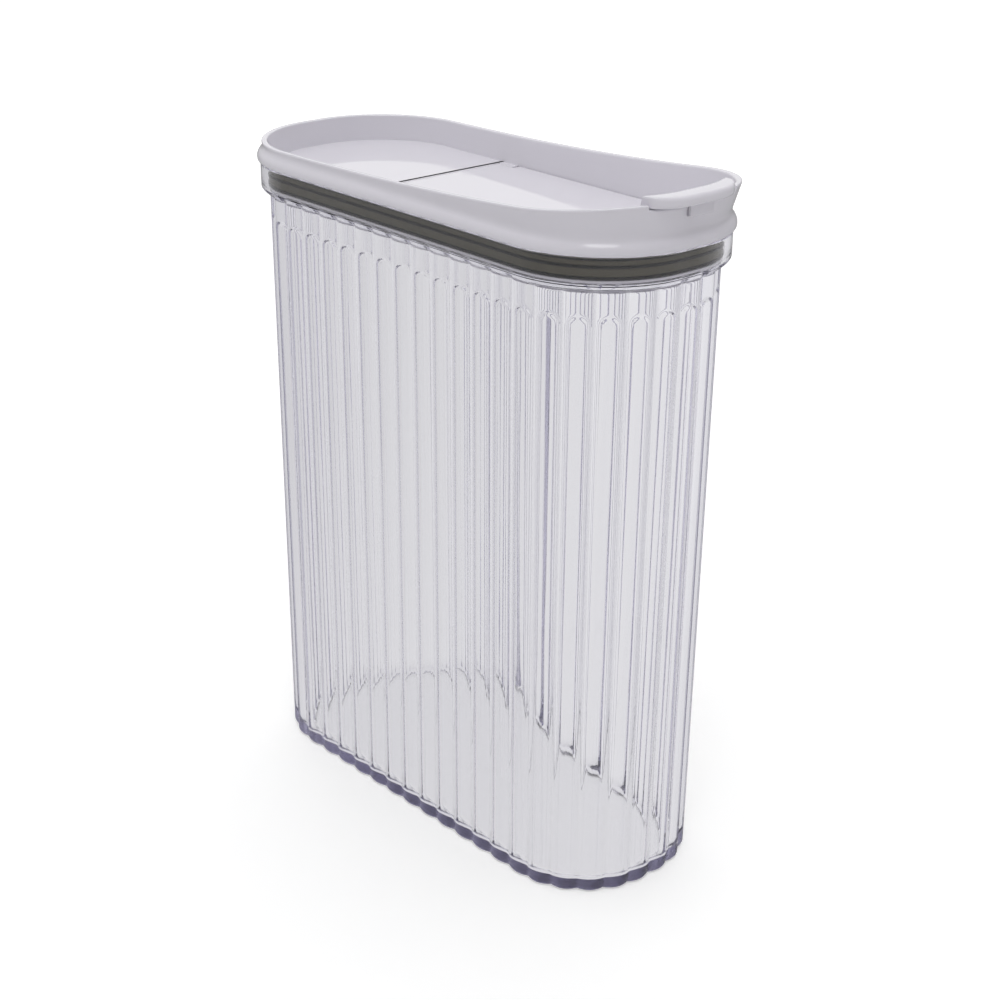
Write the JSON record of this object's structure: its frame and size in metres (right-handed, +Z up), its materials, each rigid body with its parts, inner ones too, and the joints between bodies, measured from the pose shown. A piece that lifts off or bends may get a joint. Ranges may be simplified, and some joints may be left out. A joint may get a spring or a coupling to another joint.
{
  "type": "cereal container",
  "caption": "Slim fluted clear keeper for dry cereal, with a push-on lid on a finned soft seal and a hinged flap that lifts to pour",
  "frame": {"origin": "middle of the underside of the base, the face it stands on", "axes": "+Z up through the mouth, +X towards the pouring end, +Y across the width"},
  "size_m": [0.2182, 0.091, 0.27],
  "materials": {
    "clear_body": "clear, glossy moulded plastic",
    "lid_plastic": "glossy pale grey-white moulding",
    "carrier_plastic": "glossy pale grey-white moulding",
    "seal_rubber": "satin olive-grey soft rubber",
    "flap_plastic": "glossy pale grey-white moulding",
    "gasket_rubber": "satin olive-grey soft rubber"
  },
  "bodies": {
    "container": {"container_body": "clear_body"},
    "lid": {"lid_shell": "lid_plastic", "seal_carrier": "carrier_plastic", "lid_seal": "seal_rubber"},
    "flap": {"spout_flap": "flap_plastic", "spout_seal": "gasket_rubber"}
  },
  "joints": [
    {"name": "lid_lift", "type": "slide", "parent": "container", "child": "lid", "axis": [0, 0, 1], "range_m": [0, 0.06]},
    {"name": "flap_hinge", "type": "hinge", "parent": "lid", "child": "flap", "pos_m": [-0.0275, 0, 0.2462], "axis": [0, -1, 0], "range_deg": [0, 100]}
  ]
}
